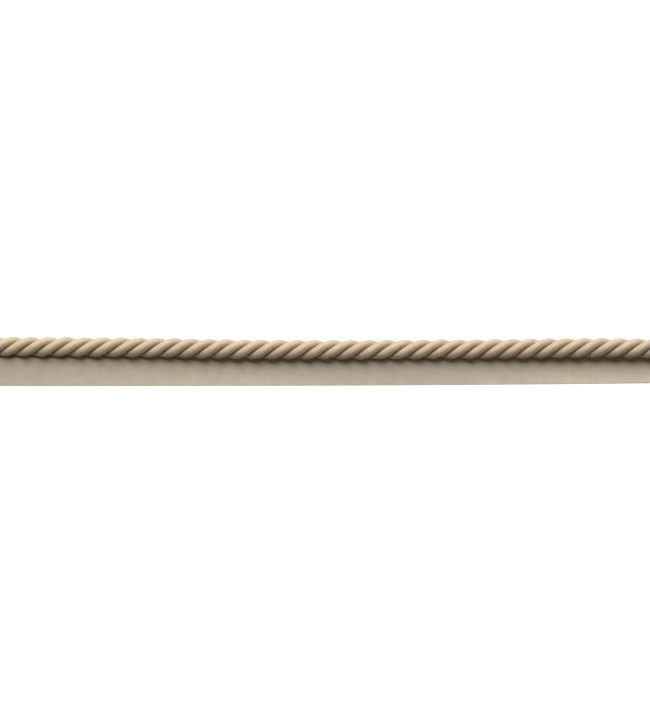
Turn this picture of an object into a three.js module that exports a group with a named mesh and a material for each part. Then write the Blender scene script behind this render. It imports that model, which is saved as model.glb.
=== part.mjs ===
// A cut length of cord trim with tape, as used along the edge of a cushion or a curtain.
// Three plies are twisted into one round cord, and the cord is sewn along its underside to a
// woven tape, whose free lip goes into a seam. The length lies on a flat surface with its face
// up: the cord towards +Y, the lip towards -Y. Millimetres, +Z up, the length along X.

import * as THREE from "three";

// Driving dimensions.
const LENGTH = 340;
const CORD_RADIUS = 5.05; // over the fullest ply
const LAY = 26.8; // length in which a ply turns once round the cord
const GROOVE_X = -6.7; // where one groove between two plies crosses the top of the cord
const TAPE_WIDTH = 21; // laid flat
const TAPE_THICKNESS = 1;
const CLEARANCE = 0.3; // between two pieces that touch

// The cord. A ply's section is an oval, pressed flat where it meets the next plies.
const PLY_HALF_DEPTH = 0.47 * CORD_RADIUS; // towards the cord's axis
const PLY_HALF_WIDTH = 0.56 * CORD_RADIUS; // along the cord's girth
const PLY_CENTRE = CORD_RADIUS - PLY_HALF_DEPTH;
const PLY_SIDES = 12;
const STEPS_PER_LAY = 12;
const CORD_AXIS_Z = TAPE_THICKNESS + CLEARANCE + CORD_RADIUS;

// The plies in turn round the cord. One is fuller than the others, so every third turn that
// shows along the cord stands a little proud.
const PLIES = [
  { name: "ply_full", turn: 0, fullness: 1 },
  { name: "ply_slim", turn: 1 / 3, fullness: 0.94 },
  { name: "ply_even", turn: 2 / 3, fullness: 0.96 },
];

// The tape, in strips along and across the length.
const TAPE_STRIPS_ALONG = 32;
const TAPE_STRIPS_ACROSS = 14;
const HUG_RADIUS = CORD_AXIS_Z; // of the tape's underside, round the cord
const CREASE_SHARPNESS = 4; // of the turn from the tape's slope into its hug of the cord
const WALK_STEP = 0.1; // along the tape's section

// How the length lies, from its left end to its right: where the cord's axis and the tape's free
// edge lie across the length, how far along the twist has slipped, and how many degrees the tape
// climbs from its free edge to the cord.
const LIE = [
  { x: -170, cordY: 7.35, edgeY: -12.25, slip: 0.5, climb: 14 },
  { x: -127.5, cordY: 7.1, edgeY: -12.3, slip: 0.6, climb: 11 },
  { x: -85, cordY: 6.75, edgeY: -12.25, slip: 1.1, climb: 8 },
  { x: -42.5, cordY: 6, edgeY: -12.2, slip: -0.1, climb: 5.5 },
  { x: 0, cordY: 5.73, edgeY: -12.1, slip: -0.5, climb: 7.5 },
  { x: 42.5, cordY: 5.9, edgeY: -11.87, slip: 0, climb: 10 },
  { x: 85, cordY: 6.15, edgeY: -11.65, slip: 0, climb: 5.5 },
  { x: 127.5, cordY: 6.7, edgeY: -11.33, slip: 0.2, climb: 0 },
  { x: 170, cordY: 6.43, edgeY: -10.9, slip: 0, climb: 0 },
];
const STATION_STEP = LENGTH / (LIE.length - 1);

// One column of the table at x, on a smooth curve through its stations.
function lieAt(x, column) {
  const last = LIE.length - 1;
  const place = THREE.MathUtils.clamp((x - LIE[0].x) / STATION_STEP, 0, last);
  const i = Math.min(Math.floor(place), last - 1);
  const t = place - i;
  const value = (k) => LIE[THREE.MathUtils.clamp(k, 0, last)][column];
  const slopeIn = (value(i + 1) - value(i - 1)) / 2;
  const slopeOut = (value(i + 2) - value(i)) / 2;
  const rise = value(i + 1) - value(i);
  const squared = 3 * rise - 2 * slopeIn - slopeOut;
  const cubed = slopeIn + slopeOut - 2 * rise;
  return value(i) + t * (slopeIn + t * (squared + t * cubed));
}

// Half the width that a ply has at a distance from the cord's axis, kept off the next ply.
function pressedHalfWidth(fromAxis, halfWidth) {
  const halfSector = Math.PI / PLIES.length;
  const limit = fromAxis * Math.tan(halfSector) - CLEARANCE / 2 / Math.cos(halfSector);
  return Math.min(halfWidth, limit);
}

// A ply's section, with X away from the cord's axis and Y along the girth.
function plyShape(fullness) {
  const points = [];
  for (let k = 0; k < PLY_SIDES; k++) {
    const angle = (2 * Math.PI * k) / PLY_SIDES;
    const depth = Math.cos(angle) > 0 ? PLY_HALF_DEPTH * fullness : PLY_HALF_DEPTH;
    const fromAxis = PLY_CENTRE + depth * Math.cos(angle);
    const across = PLY_HALF_WIDTH * Math.sin(angle);
    const halfWidth = pressedHalfWidth(fromAxis, Math.abs(across));
    points.push(new THREE.Vector2(fromAxis, Math.sign(across) * halfWidth));
  }
  return new THREE.Shape(points);
}

// Each point of a geometry goes to where place(point) puts it.
function bend(geometry, place) {
  const position = geometry.getAttribute("position");
  const point = new THREE.Vector3();
  for (let i = 0; i < position.count; i++) {
    place(point.fromBufferAttribute(position, i));
    position.setXYZ(i, point.x, point.y, point.z);
  }
  geometry.computeVertexNormals();
  return geometry;
}

// A straight ply, extruded and then turned about the cord's axis. The twist is to the left, so
// that seen from above a ply runs from the lower left to the upper right.
function plyGeometry({ turn, fullness }) {
  const steps = Math.round((LENGTH / LAY) * STEPS_PER_LAY);
  const straight = new THREE.ExtrudeGeometry(plyShape(fullness), {
    depth: LENGTH,
    steps,
    bevelEnabled: false,
  });
  const grooveTurn = 0.5 / PLIES.length; // from the middle of a ply to its groove
  return bend(straight, (point) => {
    const x = point.z - LENGTH / 2;
    const twist = (x - GROOVE_X - lieAt(x, "slip")) / LAY;
    const angle = 2 * Math.PI * (turn + grooveTurn - twist) + Math.PI / 2;
    const y = point.x * Math.cos(angle) - point.y * Math.sin(angle);
    const z = point.x * Math.sin(angle) + point.y * Math.cos(angle);
    point.set(x, lieAt(x, "cordY") + y, CORD_AXIS_Z + z);
  });
}

// How high the tape's underside lies: it climbs from its free edge, and under the cord it keeps
// to the cord's round.
function tapeLift(y, climb, cordY, edgeY) {
  const slope = Math.tan(THREE.MathUtils.degToRad(climb)) * (y - edgeY);
  const out = THREE.MathUtils.clamp(cordY - y, 0, HUG_RADIUS);
  const hug = HUG_RADIUS - Math.sqrt(HUG_RADIUS ** 2 - out ** 2);
  const sum = slope ** CREASE_SHARPNESS + hug ** CREASE_SHARPNESS;
  return sum > 0 ? (slope * hug) / sum ** (1 / CREASE_SHARPNESS) : 0;
}

// The tape's section at x: a function from a distance along the cloth, from the free edge, and a
// height above its underside to a place.
function tapeSection(x) {
  const cordY = lieAt(x, "cordY");
  const edgeY = lieAt(x, "edgeY");
  const climb = Math.max(0, lieAt(x, "climb"));
  const lift = (y) => tapeLift(y, climb, cordY, edgeY);
  const steepness = (y) => (lift(y + WALK_STEP / 2) - lift(y - WALK_STEP / 2)) / WALK_STEP;
  const walk = [edgeY];
  while (walk.length <= TAPE_WIDTH / WALK_STEP) {
    const y = walk[walk.length - 1];
    walk.push(y + WALK_STEP / Math.hypot(1, steepness(y)));
  }
  return (along, up) => {
    const y = walk[Math.round(along / WALK_STEP)];
    const tilt = Math.atan(steepness(y));
    return new THREE.Vector2(y - up * Math.sin(tilt), lift(y) + up * Math.cos(tilt));
  };
}

// A flat strip, bent to how the tape lies.
function tapeGeometry() {
  const flat = new THREE.BoxGeometry(
    LENGTH,
    TAPE_WIDTH,
    TAPE_THICKNESS,
    TAPE_STRIPS_ALONG,
    TAPE_STRIPS_ACROSS,
    1,
  );
  return bend(flat, (point) => {
    const placed = tapeSection(point.x)(point.y + TAPE_WIDTH / 2, point.z + TAPE_THICKNESS / 2);
    point.set(point.x, placed.x, placed.y);
  });
}

// The whole length, centred across on the origin.
function cordTrim() {
  const trim = new THREE.Group();
  for (const ply of PLIES) {
    const yarn = new THREE.MeshStandardMaterial({ color: 0xcdb898, roughness: 0.8, metalness: 0 });
    const mesh = new THREE.Mesh(plyGeometry(ply), yarn);
    mesh.name = ply.name;
    trim.add(mesh);
  }
  const twill = new THREE.MeshStandardMaterial({ color: 0xb5a890, roughness: 0.85, metalness: 0 });
  const tape = new THREE.Mesh(tapeGeometry(), twill);
  tape.name = "tape";
  trim.add(tape);
  const extent = new THREE.Box3().setFromObject(trim, true);
  trim.position.y = -(extent.min.y + extent.max.y) / 2;
  return trim;
}

export default cordTrim();
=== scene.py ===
"""A cut length of cord trim with tape: three yarn-wound plies twisted into a cord, which is sewn
along the inner edge of a twill tape. It lies face up on a pale floor, seen from straight above.
Metres, +Z up, the length along X, the cord towards +Y and the tape's free lip towards -Y."""

import math

import bmesh
import bpy
import numpy as np
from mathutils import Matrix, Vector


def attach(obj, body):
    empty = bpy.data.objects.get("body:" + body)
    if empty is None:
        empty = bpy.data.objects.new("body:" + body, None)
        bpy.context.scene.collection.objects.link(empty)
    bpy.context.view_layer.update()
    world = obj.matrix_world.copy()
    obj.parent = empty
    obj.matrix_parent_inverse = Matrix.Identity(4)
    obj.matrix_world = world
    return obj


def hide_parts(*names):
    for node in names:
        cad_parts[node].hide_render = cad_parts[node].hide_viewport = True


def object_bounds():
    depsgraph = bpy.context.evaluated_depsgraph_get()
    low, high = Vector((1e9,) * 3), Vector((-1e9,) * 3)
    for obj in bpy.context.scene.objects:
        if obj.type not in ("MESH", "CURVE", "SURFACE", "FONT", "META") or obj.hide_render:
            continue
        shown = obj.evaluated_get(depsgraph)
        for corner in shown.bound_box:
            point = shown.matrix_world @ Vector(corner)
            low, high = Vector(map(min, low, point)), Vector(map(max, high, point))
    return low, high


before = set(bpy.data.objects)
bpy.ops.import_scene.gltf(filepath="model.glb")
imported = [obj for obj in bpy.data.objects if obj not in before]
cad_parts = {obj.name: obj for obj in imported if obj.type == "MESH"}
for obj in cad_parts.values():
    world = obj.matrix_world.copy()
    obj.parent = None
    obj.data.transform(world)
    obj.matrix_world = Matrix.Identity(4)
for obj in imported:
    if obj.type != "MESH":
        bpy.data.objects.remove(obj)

MM = 0.001
CAD_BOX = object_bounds()

# The solids' own sizes.
LENGTH = CAD_BOX[1].x - CAD_BOX[0].x
CORD_RADIUS = 5.05 * MM
LAY = 26.8 * MM  # length in which a ply turns once round the cord
GROOVE_X = -6.7 * MM  # where one groove between two plies crosses the top of the cord
TAPE_WIDTH = 21 * MM
CAD_TAPE_THICKNESS = 1 * MM
CLEARANCE = 0.3 * MM
PLY_HALF_DEPTH = 0.47 * CORD_RADIUS
PLY_CENTRE = CORD_RADIUS - PLY_HALF_DEPTH
CORD_AXIS_Z = CAD_TAPE_THICKNESS + CLEARANCE + CORD_RADIUS
HUG_RADIUS = CORD_AXIS_Z  # of the tape's underside, round the cord
CREASE_SHARPNESS = 4  # of the turn from the tape's slope into its hug of the cord

PLIES = (
    {"name": "ply_full", "turn": 0, "fullness": 1.0},
    {"name": "ply_slim", "turn": 1 / 3, "fullness": 0.94},
    {"name": "ply_even", "turn": 2 / 3, "fullness": 0.96},
)
HALF_SECTOR = math.pi / len(PLIES)  # half a ply's share of the way round the cord

# How the length lies, at even stations from its left end to its right: the cord's axis and the
# tape's free edge across the length and how far along the twist has slipped, in millimetres, and
# the tape's climb in degrees.
LIE_COLUMNS = ("cord_y", "edge_y", "slip", "climb")
LIE = np.array([
    (7.35, -12.25, 0.5, 14),
    (7.1, -12.3, 0.6, 11),
    (6.75, -12.25, 1.1, 8),
    (6.0, -12.2, -0.1, 5.5),
    (5.73, -12.1, -0.5, 7.5),
    (5.9, -11.87, 0.0, 10),
    (6.15, -11.65, 0.0, 5.5),
    (6.7, -11.33, 0.2, 0),
    (6.43, -10.9, 0.0, 0),
])
STATION_STEP = LENGTH / (len(LIE) - 1)

# The winding of each ply: one yarn laid round and round a soft core.
WRAP_PITCH = 0.88 * MM  # along the ply's own path
WRAP_WIDTHS = (0.9, 1.1)  # the narrowest and the widest, as shares of the pitch
WRAP_HEIGHTS = (0.7, 1.15)  # the lowest and the highest, as shares of the relief
WRAP_RELIEF = 0.12 * MM
WRAP_MIDDLE = 0.6  # the height in the winding that lies on the ply's own surface
WRAP_ROUNDNESS = 0.8  # 1 for a sine's arch, less for a fuller one
ROWS_PER_WRAP = 6
UPRIGHT_ZONE = 7 * MM  # at either end, where the wraps turn square to the length
STRANDS_PER_WRAP = 3
STRAND_SHARE = 0.5  # of the strands in the yarn's fine relief, beside its fibres

# The section of each ply.
PLY_GAP = 0.03 * MM  # between two plies in the cord
PLY_HALF_WIDTH = 0.535 * CORD_RADIUS  # along the girth, a little less than the solids'
PLY_PEAKED = 1.15  # 1 for an oval section, more for one with a narrower crest
FREE_DISTANCE = 0.5 * MM  # from the next ply, where the winding stands out in full
FULLNESS_CHANGE = 0.02
FULLNESS_WAVES = (0.061, 0.037, 0.083)  # lengths of the slow changes of a ply's fullness
OPEN_SIDES = 23  # round the side of a ply that shows
OPEN_ANGLE = math.radians(115)

# The cord's underside, where it is sewn on and its plies are pressed together.
SEWN_RADIUS = 0.97 * CORD_RADIUS  # of the grooves there
SEWN_ZONE = (0.38, 0.74)  # from its start to its full effect, as shares of the way down

# The rings of a ply's cut end, from its middle to its rim: how far out each lies, and how deep.
CUT_RINGS = (
    (0.25, 0.02 * MM),
    (0.5, 0.05 * MM),
    (0.72, 0.0),
    (0.86, 0.16 * MM),
    (0.93, 0.03 * MM),
    (0.985, 0.1 * MM),
)

# The tape, and its twill.
TAPE_THICKNESS = 0.6 * MM
TWILL_PITCH = 1.14 * MM  # from one slanting ridge to the next
TWILL_SLANT = math.radians(28.7)  # of a ridge to the length
TWILL_LEAN = 1 / math.tan(TWILL_SLANT)
RIDGE_STEP = TWILL_PITCH / math.sin(TWILL_SLANT)  # from ridge to ridge along the length
TWILL_RELIEF = 0.055 * MM
RIDGE_MIDDLE = 0.6  # the height in the twill that lies on the tape's own surface
RIDGE_ROUNDNESS = 0.8
COLUMNS_PER_RIDGE = 8
YARNS_PER_RIDGE = 4
FIBRE_SHARE = 0.4  # of the fibres in the twill's fine relief, beside its yarns
PLAIN_EDGE = (0.3 * MM, 1.0 * MM)  # the strip in which the twill's relief sets in
TOP_ROWS = 40
UNDER_ROWS = 18
EDGE_RISE = 0.04 * MM  # of the tape's free edge
SEAM_RISE = 0.33 * MM  # of the tape where the cord is sewn on
FULL_RISE_AT = 13 * MM  # from the free edge
EDGE_ROUND = 0.1 * MM  # of the tape's long edges
EDGE_SUPPORT = 0.22 * MM  # from a long edge to the first even row
EDGE_OUT = (0.03 * MM, -0.02 * MM, 0.03 * MM)  # of the three rows down a long edge
EDGE_HIGH = (0.8, 0.0, -0.8)  # of the same rows, as shares of half the thickness
WALK_STEP = 0.1 * MM  # along the tape's section
COLUMN_STEP = 1 * MM  # between the sections that are worked out along the length

# The sewing on the underside.
STITCH_PITCH = 3.4 * MM
STITCH_LENGTH = 2.7 * MM
STITCH_SIDES = 6
STITCH_RINGS = 7
STITCH_SUNK = 0.3 * MM  # of a stitch's ends in the tape
STITCH_PROUD = 0.3  # of its middle, as a share of the thread's radius
STITCH_END = 0.55  # thickness of its ends, as a share of the thread's
THREAD_RADIUS = 0.16 * MM
THREAD_WIDTH, THREAD_HEIGHT = 1.3, 0.8  # as shares of its radius
SEAM_MARGIN = 6 * MM  # of both ends together
SEAM_INSET = 0.6 * MM  # from the cord's middle line

# The colours.
# The cord's colours: the dark end stands for painted shade, in the dips between wraps and between
# the fibres of a cut end.
CORD_DARK = (0.15, 0.104, 0.058)
CORD_LIGHT = (0.39, 0.296, 0.186)
ROSY_TINT = (1.03, 0.975, 1.02)
STRAW_TINT = (0.98, 1.015, 0.93)
# The tape's colours: the dark end stands for painted shade, in the gaps of the twill and in the
# grooves of the sewing thread's twist.
TAPE_DARK = (0.375, 0.315, 0.238)
TAPE_LIGHT = (0.585, 0.51, 0.402)
FLOOR_COLOUR = (0.8, 0.8, 0.8)
ROOM_COLOUR = (1, 0.82, 0.68)

# The stage and the photograph's frame.
FLOOR_HALF = 3.0  # half the floor's side
FLOOR_GLOW = 0.5
ROOM_STRENGTH = 0.125
KEY_ANGLE = math.radians(54)  # from straight above
KEY_DISTANCE = 5
KEY_SIZE = (3.6, 7.1)  # along the length, and across it
KEY_POWER = 762
PICTURE_HEIGHT = 722  # in pixels
MM_PER_PIXEL = 0.5
LENS = 250.0
SENSOR = 36.0
CLIP = (0.1, 20)  # the nearest and the farthest that the camera sees

SEED = 18  # of the small changes from wrap to wrap


def step_and_share(place, count):
    """Where a place lies in a row of count values: the value before it, and how far it is on
    towards the next."""
    place = np.clip(place, 0, count - 1)
    before = np.minimum(place.astype(int), count - 2)
    return before, place - before


def lie_at(x, column):
    """One column of the table at x, on a smooth curve through its stations."""
    values = LIE[:, LIE_COLUMNS.index(column)]
    padded = np.pad(values, 1, mode="edge")
    slopes = (padded[2:] - padded[:-2]) / 2
    i, t = step_and_share((np.asarray(x) + LENGTH / 2) / STATION_STEP, len(values))
    rise = values[i + 1] - values[i]
    squared = 3 * rise - 2 * slopes[i] - slopes[i + 1]
    cubed = slopes[i] + slopes[i + 1] - 2 * rise
    return values[i] + t * (slopes[i] + t * (squared + t * cubed))


def sideways_shift():
    """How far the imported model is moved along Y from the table's zero."""
    rounding = 0.01 * MM
    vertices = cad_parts["tape"].data.vertices
    edge = min(v.co.y for v in vertices if v.co.x > LENGTH / 2 - rounding)
    return edge - lie_at(LENGTH / 2, "edge_y") * MM


SHIFT_Y = sideways_shift()


def cord_y(x):
    return lie_at(x, "cord_y") * MM + SHIFT_Y


def edge_y(x):
    return lie_at(x, "edge_y") * MM + SHIFT_Y


def slip(x):
    return lie_at(x, "slip") * MM


def smooth_step(low, high, value):
    t = np.clip((value - low) / (high - low), 0, 1)
    return t * t * (3 - 2 * t)


def slow_waves(x, rng, wavelengths):
    """A gentle unevenness along the length, between about -1 and 1."""
    total = np.zeros_like(x)
    for wavelength in wavelengths:
        total += np.sin(2 * math.pi * (x / wavelength + rng.random()))
    return total / len(wavelengths)


def mesh_object(name, points, faces, uvs, materials, face_materials=None):
    """A smooth mesh with one UV pair for each face corner."""
    mesh = bpy.data.meshes.new(name)
    mesh.from_pydata(points.tolist(), [], faces)
    layer = mesh.uv_layers.new(name="cloth")
    layer.uv.foreach_set("vector", np.asarray(uvs, np.float32).ravel())
    mesh.polygons.foreach_set("use_smooth", np.ones(len(faces), bool))
    for material in materials:
        mesh.materials.append(material)
    if face_materials is not None:
        mesh.polygons.foreach_set("material_index", np.asarray(face_materials, np.int32))
    mesh.update()
    piece = bpy.data.objects.new(name, mesh)
    bpy.context.scene.collection.objects.link(piece)
    return piece


# The plies.

def ply_angles():
    """The places round a ply's section, from the cord's axis round and back to it. The side that
    shows has the most."""
    shown = np.linspace(-OPEN_ANGLE, OPEN_ANGLE, OPEN_SIDES)
    inner = (math.pi - OPEN_ANGLE) / 2
    return np.concatenate(([-math.pi, -math.pi + inner], shown, [math.pi - inner]))


def wrap_rows(rng):
    """Where the rows of a ply's mesh lie along X, their height in the winding, from 0 in the dip
    between two wraps to about 1 on a wrap, how many wraps have gone by, and the wraps' slant."""
    slant = math.atan(2 * math.pi * PLY_CENTRE / LAY)
    count = round(LENGTH / (WRAP_PITCH * math.cos(slant)))
    widths = rng.uniform(*WRAP_WIDTHS, count)
    starts = np.concatenate(([0], np.cumsum(widths)))
    starts = starts / starts[-1]
    part = np.arange(count * ROWS_PER_WRAP + 1) / ROWS_PER_WRAP
    x = (np.interp(part, np.arange(count + 1), starts) - 0.5) * LENGTH
    heights = rng.uniform(*WRAP_HEIGHTS, count + 1)
    height = np.sin(math.pi * (part % 1)) ** WRAP_ROUNDNESS * heights[part.astype(int)]
    return x, height, part, slant


def ply_section(fullness, angles):
    """Each row's section: the distance from the cord's axis, the place along the girth, the half
    depth, and how free the surface is of the next plies."""
    outward = np.cos(angles) > 0
    depth = np.where(outward, PLY_HALF_DEPTH * fullness[:, None], PLY_HALF_DEPTH)
    from_axis = PLY_CENTRE + depth * np.cos(angles)
    limit = from_axis * math.tan(HALF_SECTOR) - PLY_GAP / 2 / math.cos(HALF_SECTOR)
    sideways = np.sin(angles)
    across = PLY_HALF_WIDTH * np.sign(sideways) * np.abs(sideways) ** PLY_PEAKED
    free = smooth_step(0, FREE_DISTANCE, limit - np.abs(across))
    return from_axis, np.clip(across, -limit, limit), depth, free


def round_the_axis(x, from_axis, across, turn):
    """A ply's points seen from the cord's axis: the twist is to the left."""
    groove_turn = 0.5 / len(PLIES)  # from the middle of a ply to its groove
    twist = (x - GROOVE_X - slip(x)) / LAY
    angle = 2 * math.pi * (turn + groove_turn - twist) + math.pi / 2
    y = from_axis * np.cos(angle) - across * np.sin(angle)
    z = from_axis * np.sin(angle) + across * np.cos(angle)
    return y, z


def place_in_cord(x, from_axis, across, turn):
    y, z = round_the_axis(x, from_axis, across, turn)
    return np.stack((x, cord_y(x) + y, CORD_AXIS_Z + z), axis=-1)


def filled_below(x, from_axis, across, angles, turn):
    """How far each point of the open side moves out where the cord is sewn on: there the plies are
    pressed together and the grooves between them are shallow."""
    _, z = round_the_axis(x, from_axis, across, turn)
    radius = np.hypot(from_axis, across)
    below = smooth_step(*SEWN_ZONE, -z / radius)
    open_side = np.abs(angles) <= OPEN_ANGLE
    return 1 + open_side * below * np.maximum(SEWN_RADIUS / radius - 1, 0)


def wound_surface(x, height, slant, fullness, angles, turn):
    """A ply's surface with its winding: the rows' places along X, and each point's distance from
    the cord's axis and place along the girth."""
    from_axis, across, depth, free = ply_section(fullness, angles)

    # Each row follows a wrap, which lies square to the ply's own path, and is upright at the ends.
    from_end = LENGTH / 2 - np.abs(x)
    lean = math.sin(slant) * math.cos(slant) * smooth_step(0, UPRIGHT_ZONE, from_end)
    row_x = x[:, None] + across * lean[:, None]

    outwards = np.cos(angles) / depth
    along_girth = np.broadcast_to(np.sin(angles) / PLY_HALF_WIDTH, depth.shape)
    relief = WRAP_RELIEF * (height[:, None] - WRAP_MIDDLE) * free
    relief = relief / np.hypot(outwards, along_girth)
    from_axis = from_axis + relief * outwards
    across = across + relief * along_girth
    filled = filled_below(row_x, from_axis, across, angles, turn)
    return row_x, from_axis * filled, across * filled


def cut_rings(x_end, inwards, section, turn):
    """The rings of a cut end, from its middle to its rim: a soft round bundle."""
    from_axis, across = section
    rings = []
    for share, depth in CUT_RINGS:
        x = np.full_like(from_axis, x_end + inwards * depth)
        out = PLY_CENTRE + (from_axis - PLY_CENTRE) * share
        rings.append(place_in_cord(x, out, across * share, turn))
    return rings


def tube_faces(count, sides):
    """The faces between the rings of a tube, and the fans that close its ends. The two poles come
    after the rings' points."""
    ring, side = np.meshgrid(np.arange(count - 1), np.arange(sides), indexing="ij")
    here, ahead = ring * sides, (ring + 1) * sides
    beside = (side + 1) % sides
    quads = np.stack((here + side, here + beside, ahead + beside, ahead + side), -1)
    last = (count - 1) * sides
    left_pole = np.full(sides, count * sides)
    right_pole = left_pole + 1
    k = np.arange(sides)
    left_fan = np.stack((left_pole, (k + 1) % sides, k), -1)
    right_fan = np.stack((right_pole, last + k, last + (k + 1) % sides), -1)
    return quads.reshape(-1, 4).tolist() + left_fan.tolist() + right_fan.tolist()


def tube_uvs(wraps, around):
    """The UV pairs of the same faces: the wraps gone by, and the share of the way round."""
    u = np.stack((wraps[:-1], wraps[:-1], wraps[1:], wraps[1:]), -1)[:, None, :]
    v = np.stack((around[:-1], around[1:], around[1:], around[:-1]), -1)[None, :, :]
    quads = np.stack(np.broadcast_arrays(u, v), -1).reshape(-1, 2)
    fan_corners = 2 * 3 * (len(around) - 1)
    return np.concatenate((quads, np.zeros((fan_corners, 2))))


def cut_faces(count, sides):
    """Which of the same faces belong to the cut ends."""
    caps = len(CUT_RINGS)
    ring = np.repeat(np.arange(count - 1), sides)
    cut = (ring < caps - 1) | (ring > count - caps - 1)
    return np.concatenate((cut, np.ones(2 * sides, bool)))


def with_caps(rows, left, right):
    """A value for each row of the winding as one for each ring, the cut ends' rings included."""
    caps = len(CUT_RINGS)
    return np.concatenate((np.full(caps, left), rows[1:-1], np.full(caps, right)))


def ply_piece(ply, yarn, cut_yarn, rng):
    turn = ply["turn"]
    x, height, part, slant = wrap_rows(rng)
    angles = ply_angles()
    fullness = ply["fullness"] * (1 + FULLNESS_CHANGE * slow_waves(x, rng, FULLNESS_WAVES))
    row_x, from_axis, across = wound_surface(x, height, slant, fullness, angles, turn)
    body = place_in_cord(row_x, from_axis, across, turn)
    left = np.array(cut_rings(-LENGTH / 2, 1, (from_axis[0], across[0]), turn))
    right = np.array(cut_rings(LENGTH / 2, -1, (from_axis[-1], across[-1]), turn))
    rings = np.concatenate((left, body[1:-1], right[::-1]))
    poles = (left[0].mean(axis=0), right[0].mean(axis=0))
    points = np.concatenate((rings.reshape(-1, 3), poles))

    count, sides = rings.shape[:2]
    around = np.append(angles, math.pi) / (2 * math.pi)
    uvs = tube_uvs(with_caps(part, part[0], part[-1]), around)
    piece = mesh_object(ply["name"] + "_wound", points, tube_faces(count, sides), uvs,
                        [yarn, cut_yarn], cut_faces(count, sides))
    mark_relief(piece, np.append(np.repeat(with_caps(height, 1, 1), sides), (1, 1)))
    return piece


def mark_relief(piece, heights):
    """Gives each point its height in the winding, from which the yarn's colour is painted darker in
    the dips between wraps, as shade.
    """
    attribute = piece.data.attributes.new("relief", "FLOAT", "POINT")
    attribute.data.foreach_set("value", heights.astype(np.float32))


# The tape.

def tape_lift(y, climb, middle, edge):
    """How high the tape lies above where it would lie flat: it climbs from its free edge, and
    under the cord it keeps to the cord's round."""
    slope = np.tan(np.radians(climb)) * (y - edge)
    out = np.clip(middle - y, 0, HUG_RADIUS)
    hug = HUG_RADIUS - np.sqrt(HUG_RADIUS**2 - out**2)
    total = np.abs(slope) ** CREASE_SHARPNESS + hug**CREASE_SHARPNESS
    tiny = 1e-30  # keeps the division whole where both are flat
    return slope * hug / np.maximum(total, tiny) ** (1 / CREASE_SHARPNESS)


def tape_walk(x):
    """The tape's sections at x: for each step along the cloth from its free edge, the place
    across, the lift and the tilt."""
    middle, edge = cord_y(x), edge_y(x)
    climb = np.maximum(lie_at(x, "climb"), 0)
    steps = round(TAPE_WIDTH / WALK_STEP)
    y = edge.copy()
    rows = []
    for _ in range(steps + 1):
        ahead = tape_lift(y + WALK_STEP / 2, climb, middle, edge)
        behind = tape_lift(y - WALK_STEP / 2, climb, middle, edge)
        steepness = (ahead - behind) / WALK_STEP
        rows.append((y, tape_lift(y, climb, middle, edge), np.arctan(steepness)))
        y = y + WALK_STEP / np.hypot(1, steepness)
    return np.array(rows)


class TapeForm:
    """Places points of the flat tape where it lies."""

    def __init__(self):
        reach = LENGTH / 2 + TAPE_WIDTH  # past the ends, for the slanting columns cut there
        self.x = np.arange(-reach, reach, COLUMN_STEP)
        self.rows = tape_walk(self.x)

    def section(self, x, along):
        """The place across, the lift and the tilt, between the worked-out rows and columns."""
        low, part = step_and_share(along / WALK_STEP, len(self.rows))
        left, share = step_and_share((x - self.x[0]) / COLUMN_STEP, len(self.x))
        here = 0
        for row, row_weight in ((low, 1 - part), (low + 1, part)):
            for col, col_weight in ((left, 1 - share), (left + 1, share)):
                here = here + self.rows[row, :, col] * (row_weight * col_weight)[..., None]
        return here[..., 0], here[..., 1], here[..., 2]

    def place(self, x, along, up):
        """x along the length, a distance from the free edge, and a height above the underside."""
        y, lift, tilt = self.section(x, along)
        beyond = np.minimum(along, 0) + np.maximum(along - TAPE_WIDTH, 0)
        rise = EDGE_RISE + (SEAM_RISE - EDGE_RISE) * smooth_step(0, FULL_RISE_AT, along)
        placed_y = y + beyond * np.cos(tilt) - up * np.sin(tilt)
        placed_z = rise + lift + beyond * np.sin(tilt) + up * np.cos(tilt)
        return np.stack((x, placed_y, placed_z), axis=-1)

    def along_under_cord(self, x):
        """How far from the free edge the seam's line lies on the cloth, at x."""
        target = cord_y(x) - SEAM_INSET
        columns = ((x - self.x[0]) / COLUMN_STEP).round().astype(int)
        columns = np.clip(columns, 0, len(self.x) - 1)
        walked = np.arange(len(self.rows)) * WALK_STEP
        places = self.rows[:, 0]
        return np.array([np.interp(y, places[:, c], walked) for y, c in zip(target, columns)])


def tape_outline():
    """Once round the flat tape's section: the distance from the free edge, and the side, from 1
    on top to -1 below."""
    inner = np.linspace(EDGE_SUPPORT, TAPE_WIDTH - EDGE_SUPPORT, TOP_ROWS + 1)
    top = np.concatenate(([EDGE_ROUND], inner, [TAPE_WIDTH - EDGE_ROUND]))
    under = np.linspace(TAPE_WIDTH - EDGE_ROUND, EDGE_ROUND, UNDER_ROWS + 1)
    along = np.concatenate((top, TAPE_WIDTH - np.array(EDGE_OUT), under, EDGE_OUT))
    side = np.concatenate((np.ones(len(top)), EDGE_HIGH, -np.ones(len(under)), EDGE_HIGH[::-1]))
    return along, side


def twill_up(phase, along, side):
    """The height of each point of the flat tape above its underside, with the twill's ridges."""
    ridge = np.sin(math.pi * (phase[:, None] % 1)) ** RIDGE_ROUNDNESS - RIDGE_MIDDLE
    from_edge = np.minimum(along, TAPE_WIDTH - along)
    relief = TWILL_RELIEF * ridge * smooth_step(*PLAIN_EDGE, from_edge)
    return (1 + side) * TAPE_THICKNESS / 2 + np.sign(side) * relief


def tape_triangles(count, sides):
    """The faces between the slanting columns of the tape's mesh."""
    row, side = np.meshgrid(np.arange(count - 1), np.arange(sides), indexing="ij")
    beside = (side + 1) % sides
    a, b = row * sides + side, row * sides + beside
    c, d = (row + 1) * sides + beside, (row + 1) * sides + side
    pairs = np.stack((np.stack((a, c, b), -1), np.stack((a, d, c), -1)), 2)
    return pairs.reshape(-1, 3)


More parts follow.
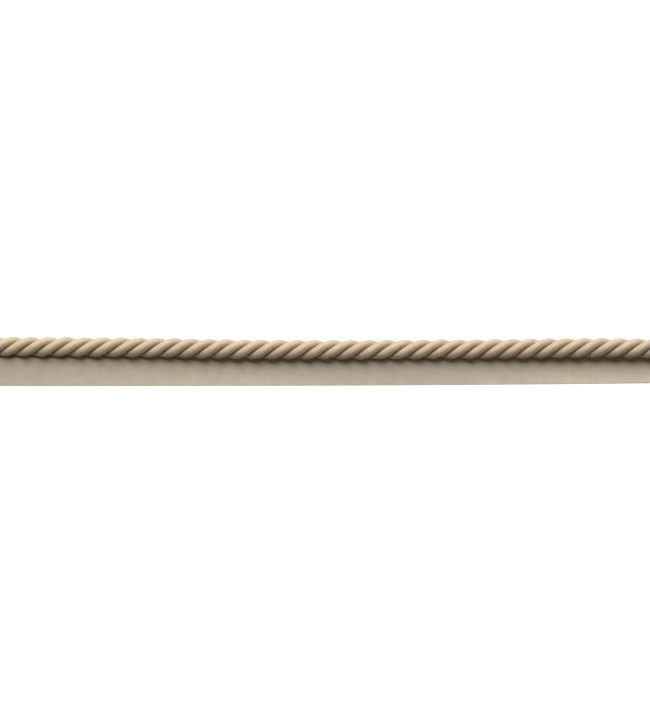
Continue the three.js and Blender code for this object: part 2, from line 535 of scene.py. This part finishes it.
def tape_piece(form, weave, cut_weave):
    """The tape, with its mesh's columns along the twill's slanting ridges."""
    along, side = tape_outline()
    reach = LENGTH / 2 + TAPE_WIDTH / 2 * TWILL_LEAN + RIDGE_STEP
    ridges = math.ceil(2 * reach / RIDGE_STEP)
    phase = np.arange(ridges * COLUMNS_PER_RIDGE + 1) / COLUMNS_PER_RIDGE
    start = (phase - ridges / 2) * RIDGE_STEP
    x = start[:, None] - (along - TAPE_WIDTH / 2) * TWILL_LEAN
    everywhere = np.broadcast_to(along, x.shape)
    points = form.place(x, everywhere, twill_up(phase, along, side))
    triangles = tape_triangles(len(start), len(along))
    flat = np.stack((x, everywhere), -1).reshape(-1, 2)
    piece = mesh_object("tape_twill", points.reshape(-1, 3), triangles.tolist(),
                        flat[triangles.ravel()], [weave, cut_weave])
    cut_square(piece)
    return piece


def cut_square(piece):
    """Cuts the slanting ends of the tape's mesh off square, and closes them."""
    mesh = bmesh.new()
    mesh.from_mesh(piece.data)
    for side in (-1, 1):
        everything = mesh.verts[:] + mesh.edges[:] + mesh.faces[:]
        cut = bmesh.ops.bisect_plane(mesh, geom=everything, plane_co=(side * LENGTH / 2, 0, 0),
                                     plane_no=(side, 0, 0), clear_outer=True)
        rim = [e for e in cut["geom_cut"] if isinstance(e, bmesh.types.BMEdge)]
        filled = bmesh.ops.holes_fill(mesh, edges=rim, sides=0)["faces"]
        for face in bmesh.ops.triangulate(mesh, faces=filled, ngon_method="EAR_CLIP")["faces"]:
            face.material_index = 1
            face.smooth = False
    bmesh.ops.recalc_face_normals(mesh, faces=mesh.faces[:])
    mesh.to_mesh(piece.data)
    mesh.free()


# The sewing.

def stitch_points(line):
    """The points round one stitch, which is thinner at its ends."""
    points = []
    for ring, centre in enumerate(line):
        thickness = STITCH_END if ring in (0, len(line) - 1) else 1
        for side in range(STITCH_SIDES):
            turn = 2 * math.pi * side / STITCH_SIDES
            y = math.cos(turn) * THREAD_RADIUS * THREAD_WIDTH * thickness
            z = math.sin(turn) * THREAD_RADIUS * THREAD_HEIGHT * thickness
            points.append((centre[0], centre[1] + y, centre[2] + z))
    return points


def stitch_faces(first):
    """The faces of a stitch whose points start at the given one."""
    faces = []
    for ring in range(STITCH_RINGS - 1):
        here = first + ring * STITCH_SIDES
        for side in range(STITCH_SIDES):
            a = here + side
            b = here + (side + 1) % STITCH_SIDES
            faces.append((a, b, b + STITCH_SIDES, a + STITCH_SIDES))
    last = first + (STITCH_RINGS - 1) * STITCH_SIDES
    faces.append(tuple(first + side for side in reversed(range(STITCH_SIDES))))
    faces.append(tuple(last + side for side in range(STITCH_SIDES)))
    return faces


def seam_piece(form, thread):
    """A row of stitches on the underside, where the cord is sewn on."""
    count = int((LENGTH - SEAM_MARGIN) / STITCH_PITCH)
    points, faces = [], []
    for k in range(count):
        t = np.linspace(0, 1, STITCH_RINGS)
        x = (k - count / 2) * STITCH_PITCH + t * STITCH_LENGTH
        up = STITCH_SUNK * (2 * t - 1) ** 4 - STITCH_PROUD * THREAD_RADIUS
        faces += stitch_faces(len(points))
        points += stitch_points(form.place(x, form.along_under_cord(x), up))
    corners = sum(len(face) for face in faces)
    no_uvs = np.zeros((corners, 2))
    return mesh_object("seam_stitches", np.array(points), faces, no_uvs, [thread])


# The materials.

class Shader:
    """A small helper to wire one material's nodes."""

    def __init__(self, name, roughness, sheen):
        self.material = bpy.data.materials.new(name)
        self.material.use_nodes = True
        self.nodes = self.material.node_tree.nodes
        self.links = self.material.node_tree.links
        self.surface = self.nodes["Principled BSDF"]
        self.surface.inputs["Roughness"].default_value = roughness
        self.surface.inputs["Sheen Weight"].default_value = sheen
        self.surface.inputs["Sheen Roughness"].default_value = 0.5
        self.surface.inputs["Specular IOR Level"].default_value = 0.5

    def add(self, kind, **settings):
        node = self.nodes.new(kind)
        for key, value in settings.items():
            setattr(node, key, value)
        return node

    def feed(self, socket, value):
        if isinstance(value, bpy.types.NodeSocket):
            self.links.new(value, socket)
        else:
            socket.default_value = value

    def math(self, operation, *values, clamp=False):
        node = self.add("ShaderNodeMath", operation=operation, use_clamp=clamp)
        for socket, value in zip(node.inputs, values):
            self.feed(socket, value)
        return node.outputs[0]

    def times(self, first, second, clamp=False):
        return self.math("MULTIPLY", first, second, clamp=clamp)

    def bulges(self, value, roundness=1.0):
        """From 0 up to 1 and back between each whole number and the next."""
        wave = self.math("ABSOLUTE", self.math("SINE", self.times(value, math.pi)))
        return self.math("POWER", wave, roundness)

    def cloth(self):
        """The mesh's own UV pair, as two sockets."""
        split = self.add("ShaderNodeSeparateXYZ")
        self.feed(split.inputs[0], self.add("ShaderNodeUVMap", uv_map="cloth").outputs[0])
        return split.outputs[0], split.outputs[1]

    def place(self):
        """The place in the part."""
        return self.add("ShaderNodeTexCoord").outputs["Object"]

    def noise(self, vector, scale=1.0, detail=2.0):
        node = self.add("ShaderNodeTexNoise")
        self.feed(node.inputs["Vector"], vector)
        node.inputs["Scale"].default_value = scale
        node.inputs["Detail"].default_value = detail
        return node.outputs[0]

    def flecks(self, pair, finer=(1.0, 1.0), scale=1.0, detail=2.0):
        """Noise over a pair of sockets, each of them with its own fineness."""
        node = self.add("ShaderNodeCombineXYZ")
        for socket, value, fineness in zip(node.inputs, pair, finer):
            self.feed(socket, self.times(value, fineness))
        return self.noise(node.outputs[0], scale, detail)

    def spread(self, value, low, high):
        """A value from 0 to 1 as one from low to high."""
        node = self.add("ShaderNodeMapRange")
        self.feed(node.inputs["Value"], value)
        node.inputs["To Min"].default_value = low
        node.inputs["To Max"].default_value = high
        return node.outputs[0]

    def between(self, factor, dark, light):
        """One of the colours between two."""
        node = self.add("ShaderNodeMix", data_type="RGBA")
        self.feed(node.inputs[0], factor)
        node.inputs[6].default_value = (*dark, 1)
        node.inputs[7].default_value = (*light, 1)
        return node.outputs[2]

    def tinted(self, colour, tint):
        node = self.add("ShaderNodeMix", data_type="RGBA", blend_type="MULTIPLY")
        node.inputs[0].default_value = 1.0
        self.feed(node.inputs[6], colour)
        self.feed(node.inputs[7], tint)
        return node.outputs[2]

    def bump(self, height, depth, strength=1.0):
        node = self.add("ShaderNodeBump")
        node.inputs["Strength"].default_value = strength
        node.inputs["Distance"].default_value = depth
        self.feed(node.inputs["Height"], height)
        self.links.new(node.outputs[0], self.surface.inputs["Normal"])

    def colour(self, value):
        self.feed(self.surface.inputs["Base Color"], value)

    def roughness(self, value):
        self.feed(self.surface.inputs["Roughness"], value)


def wound_yarn():
    """Yarn laid round a ply: fine strands that run with each wrap. Its colour is painted darker in
    the dips between the wraps, as shade.
    """
    shader = Shader("wound_yarn", roughness=0.7, sheen=0.5)
    cloth = shader.cloth()
    strands = shader.bulges(shader.times(cloth[0], STRANDS_PER_WRAP))
    fibres = shader.flecks(cloth, finer=(9.0, 14.0), detail=3)
    tone = shader.spread(shader.flecks(cloth, finer=(1.0, 1.5), scale=0.9), low=0.7, high=1.2)
    place = shader.place()
    patches = shader.spread(shader.noise(place, scale=90.0), low=0.8, high=1.2)
    relief = shader.add("ShaderNodeAttribute", attribute_name="relief").outputs["Fac"]
    # Painted shade: the colour darkens in the dips between wraps, by the height in the winding,
    # times a random tone.
    light = shader.times(shader.spread(relief, low=0.52, high=0.905), tone)
    light = shader.times(light, patches, clamp=True)
    hue = shader.spread(shader.noise(place, scale=75.0), low=-0.6, high=1.6)
    tint = shader.between(hue, ROSY_TINT, STRAW_TINT)
    shader.colour(shader.tinted(shader.between(light, CORD_DARK, CORD_LIGHT), tint))
    shader.roughness(shader.spread(fibres, low=0.42, high=0.6))
    height = shader.math("ADD", shader.times(strands, STRAND_SHARE), fibres)
    shader.bump(height, depth=0.05 * MM, strength=0.7)
    return shader.material


def cut_ends():
    """The fibre ends where the cord is cut."""
    shader = Shader("cut_yarn_ends", roughness=0.9, sheen=0.2)
    cells = shader.add("ShaderNodeTexVoronoi")
    shader.feed(cells.inputs["Vector"], shader.place())
    cells.inputs["Scale"].default_value = 2600.0
    spots = shader.spread(cells.outputs["Distance"], low=1.0, high=0.2)
    # Painted shade: the colour is darker between the fibre tips, where the bump lies lower.
    shader.colour(shader.between(spots, CORD_DARK, CORD_LIGHT))
    shader.bump(spots, depth=0.12 * MM)
    return shader.material


def twill(name, tone):
    """Twill: warp yarns along the length, each passing over and under the weft a step further on
    than the last."""
    shader = Shader(name, roughness=0.8, sheen=0.2)
    cloth = shader.cloth()
    x, along = cloth
    yarn_pitch = RIDGE_STEP * math.tan(TWILL_SLANT) / YARNS_PER_RIDGE
    yarns = shader.math("DIVIDE", along, yarn_pitch)
    shifted = shader.math("DIVIDE", shader.math("FLOOR", yarns), YARNS_PER_RIDGE)
    phase = shader.math("ADD", shader.math("DIVIDE", x, RIDGE_STEP), shifted)
    over = shader.bulges(phase, roundness=0.6)
    floats = shader.times(over, shader.bulges(yarns, roundness=0.7))
    fibres = shader.flecks(cloth, finer=(1.0, 6.0), scale=1500.0, detail=3)
    streaks = shader.flecks(cloth, finer=(0.15, 1.0), scale=900.0)
    mottle = shader.flecks(cloth, scale=220.0)
    patches = shader.flecks(cloth, scale=70.0)
    # Painted shade: the colour is darker in the gaps between the floats; the streaks, mottle and
    # patches are the cloth's own uneven tone.
    light = shader.spread(floats, low=0.46, high=1.0)
    light = shader.times(light, shader.spread(streaks, low=0.8, high=1.15))
    light = shader.times(light, shader.spread(mottle, low=0.5, high=1.5))
    light = shader.times(light, shader.spread(patches, low=0.85, high=1.15), clamp=True)
    dark = tuple(tone * c for c in TAPE_DARK)
    bright = tuple(tone * c for c in TAPE_LIGHT)
    shader.colour(shader.between(light, dark, bright))
    shader.roughness(shader.spread(fibres, low=0.7, high=0.9))
    height = shader.math("ADD", floats, shader.times(fibres, FIBRE_SHARE))
    shader.bump(height, depth=0.06 * MM, strength=0.7)
    return shader.material


def sewing_thread():
    shader = Shader("sewing_thread", roughness=0.6, sheen=0.1)
    twist = shader.add("ShaderNodeTexWave", bands_direction="DIAGONAL")
    shader.feed(twist.inputs["Vector"], shader.place())
    twist.inputs["Scale"].default_value = 900.0
    strands = twist.outputs["Fac"]
    # Painted shade: the thread's colour is darker in the grooves of its twist, where the bump lies
    # lower.
    shader.colour(shader.between(strands, TAPE_DARK, TAPE_LIGHT))
    shader.bump(strands, depth=0.04 * MM)
    return shader.material


# The stage.

def floor_piece():
    mesh = bpy.data.meshes.new("floor")
    signs = ((-1, -1), (1, -1), (1, 1), (-1, 1))
    corners = [(x * FLOOR_HALF, y * FLOOR_HALF, 0) for x, y in signs]
    mesh.from_pydata(corners, [], [(0, 1, 2, 3)])
    material = bpy.data.materials.new("pale_floor")
    material.use_nodes = True
    surface = material.node_tree.nodes["Principled BSDF"]
    surface.inputs["Base Color"].default_value = (*FLOOR_COLOUR, 1)
    surface.inputs["Emission Color"].default_value = (1, 1, 1, 1)
    surface.inputs["Emission Strength"].default_value = FLOOR_GLOW
    surface.inputs["Roughness"].default_value = 0.9
    surface.inputs["Specular IOR Level"].default_value = 0.1
    mesh.materials.append(material)
    floor = bpy.data.objects.new("floor", mesh)
    floor.visible_diffuse = False
    bpy.context.scene.collection.objects.link(floor)


def key_light():
    """A large soft lamp over the cord's side of the trim, turned towards it."""
    data = bpy.data.lights.new("key", "AREA")
    data.shape = "RECTANGLE"
    data.size, data.size_y = KEY_SIZE
    data.energy = KEY_POWER
    lamp = bpy.data.objects.new("key", data)
    lamp.location = (0, KEY_DISTANCE * math.sin(KEY_ANGLE), KEY_DISTANCE * math.cos(KEY_ANGLE))
    lamp.rotation_euler = (-KEY_ANGLE, 0, 0)
    bpy.context.scene.collection.objects.link(lamp)


def surroundings():
    world = bpy.data.worlds.new("pale_room")
    world.use_nodes = True
    background = world.node_tree.nodes["Background"]
    background.inputs["Color"].default_value = (*ROOM_COLOUR, 1)
    background.inputs["Strength"].default_value = ROOM_STRENGTH
    bpy.context.scene.world = world


def camera():
    """Straight above, with the photograph's 325 mm across and its middle row on the table's zero."""
    data = bpy.data.cameras.new("camera")
    data.lens = LENS
    data.sensor_width = SENSOR
    eye = bpy.data.objects.new("camera", data)
    tall = PICTURE_HEIGHT * MM_PER_PIXEL * MM
    distance = tall / 2 / (SENSOR / 2 / LENS)
    eye.location = (0, SHIFT_Y, CORD_AXIS_Z + distance)
    data.clip_start, data.clip_end = CLIP
    bpy.context.scene.collection.objects.link(eye)
    bpy.context.scene.camera = eye


def dress():
    rng = np.random.default_rng(SEED)
    yarn, cut_yarn = wound_yarn(), cut_ends()
    for ply in PLIES:
        piece = ply_piece(ply, yarn, cut_yarn, rng)
        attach(piece, "root")
        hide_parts(ply["name"])
    form = TapeForm()
    weave, cut_weave = twill("twill_weave", tone=1.0), twill("twill_cut_end", tone=0.9)
    tape = tape_piece(form, weave, cut_weave)
    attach(tape, "root")
    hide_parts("tape")
    seam = seam_piece(form, sewing_thread())
    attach(seam, "root")


camera()
floor_piece()
surroundings()
key_light()
bpy.context.scene.view_settings.view_transform = "Standard"
dress()
